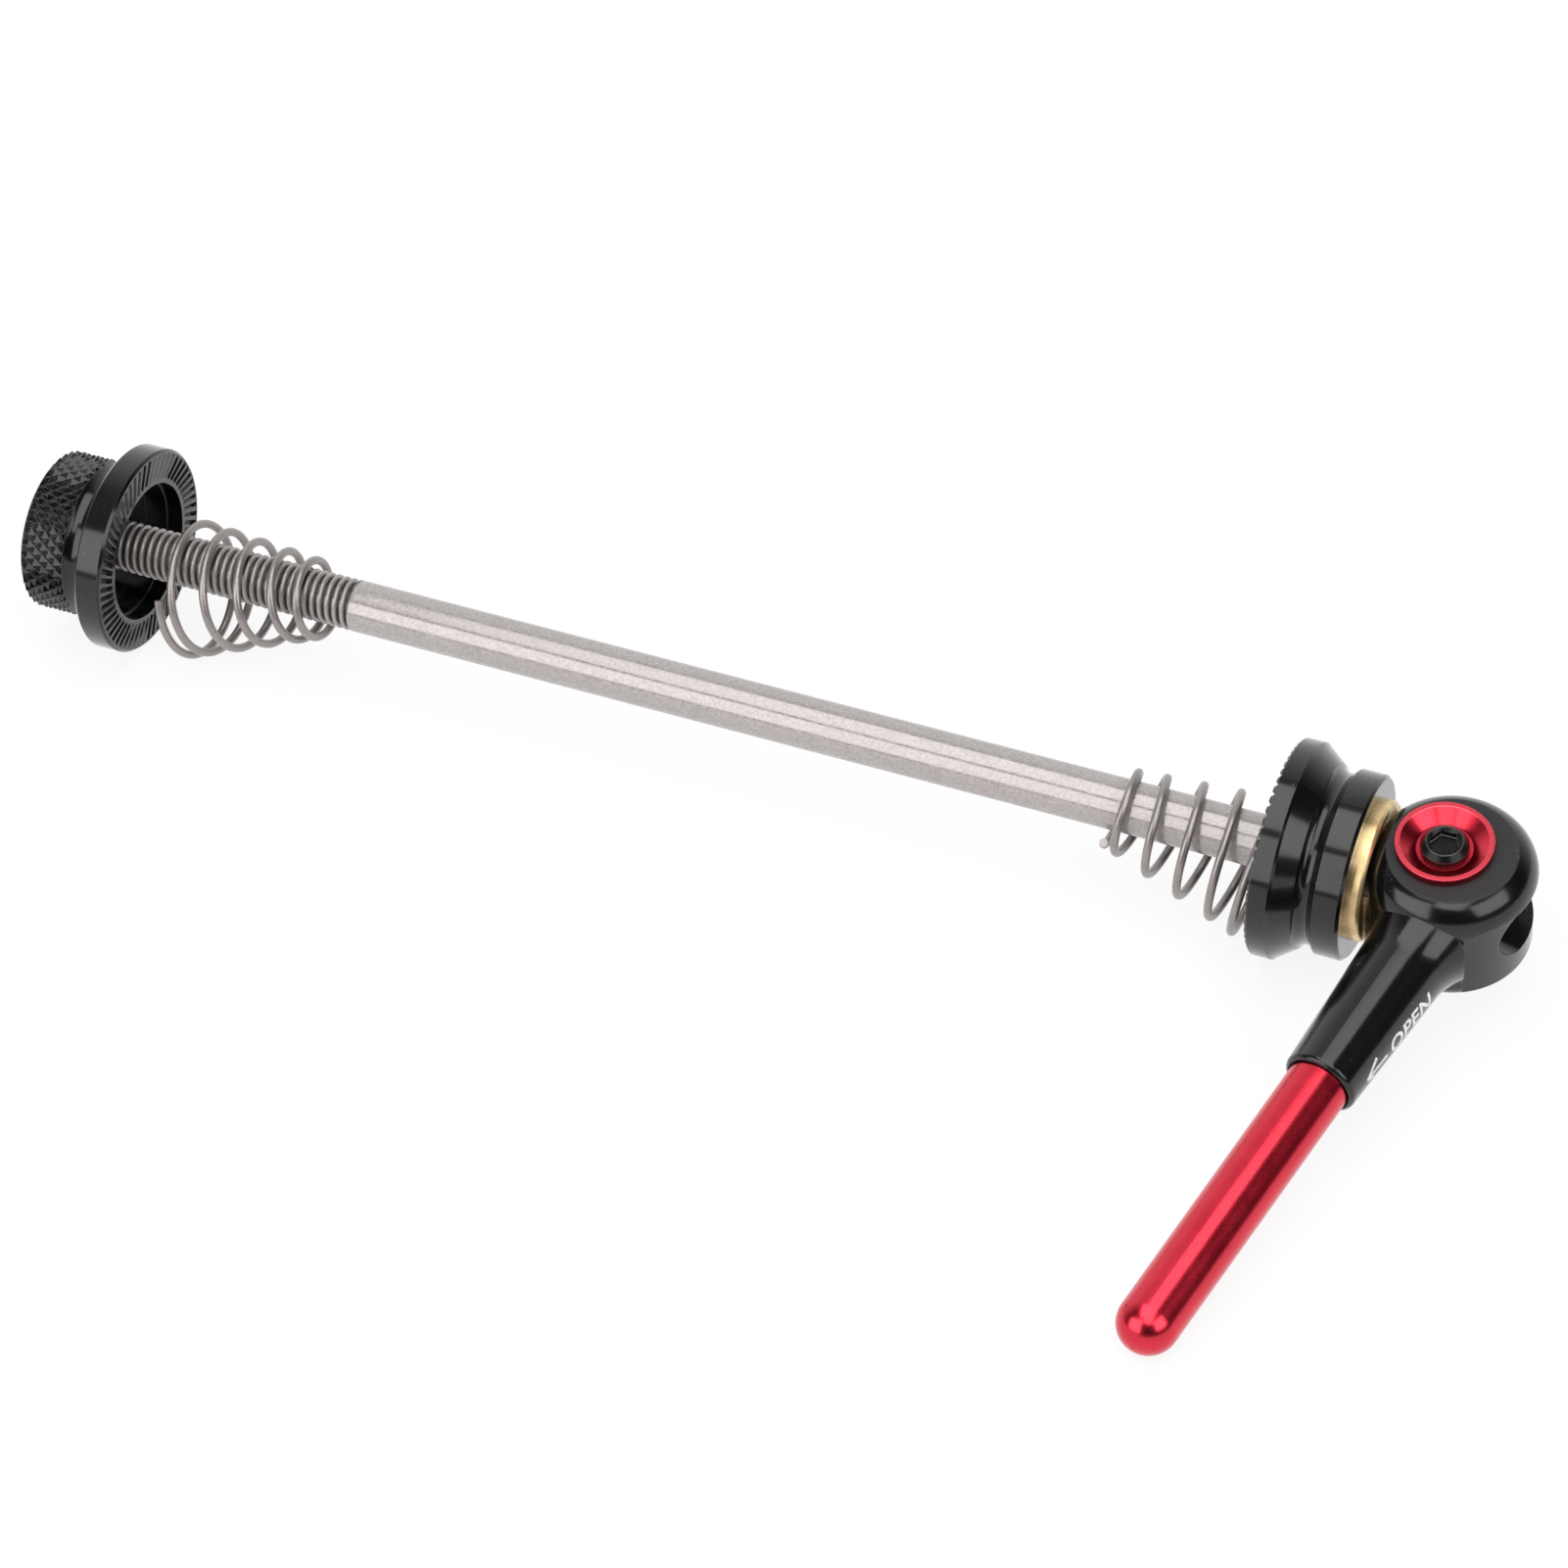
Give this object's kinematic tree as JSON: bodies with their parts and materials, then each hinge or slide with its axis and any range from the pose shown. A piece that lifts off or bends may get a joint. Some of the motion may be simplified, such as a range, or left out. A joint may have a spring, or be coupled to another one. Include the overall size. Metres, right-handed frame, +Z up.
{
  "type": "quick release skewer",
  "caption": "Bicycle quick release skewer: steel rod with serrated clamping nut, conical springs, clamp washer with brass cam seat, and a folding cam lever with a round handle.",
  "frame": {"origin": "centre of the adjusting nut's serrated clamping face, on the rod's axis", "axes": "+X along the rod from the nut to the lever, +Z up with the set lying on its two flanges and the lever's tip"},
  "size_m": [0.1493, 0.0641, 0.0202],
  "materials": {
    "black_anodised": "satin black anodised",
    "red_anodised": "glossy red anodised",
    "rod_steel": "satin",
    "spring_steel": "satin drawn wire",
    "brass": "turned",
    "black_steel": "black oxide"
  },
  "bodies": {
    "axle": {"skewer_rod": "rod_steel", "pivot_barrel": "rod_steel", "upper_cap": "red_anodised", "lower_cap": "red_anodised", "upper_cap_screw": "black_steel", "lower_cap_screw": "black_steel"},
    "clamp_end": {"clamp_washer": "black_anodised", "cam_seat": "brass", "lever_spring": "spring_steel"},
    "lever": {"lever_body": "black_anodised", "lever_handle": "red_anodised"},
    "nut_carriage": {"nut_spring": "spring_steel"},
    "nut": {"adjusting_nut": "black_anodised"}
  },
  "joints": [
    {"name": "lever_fold", "type": "hinge", "parent": "axle", "child": "lever", "pos_m": [0.13088, 0, 0], "axis": [0, -0.1422, 0.9898], "range_deg": [0, 190]},
    {"name": "clamp_slide", "type": "slide", "parent": "axle", "child": "clamp_end", "axis": [-1, 0, 0], "range_m": [0, 0.00155]},
    {"name": "nut_travel", "type": "slide", "parent": "axle", "child": "nut_carriage", "axis": [1, 0, 0], "range_m": [-0.00161, 0.00961]},
    {"name": "nut_turn", "type": "hinge", "parent": "nut_carriage", "child": "nut", "pos_m": [0, 0, 0], "axis": [1, 0, 0], "range_deg": [-720, 4320]}
  ],
  "couplings": [
    {"joint": "clamp_slide", "follows": "lever_fold", "m_per_rad": 0.00046686},
    {"joint": "nut_travel", "follows": "nut_turn", "m_per_rad": 0.00012732}
  ]
}
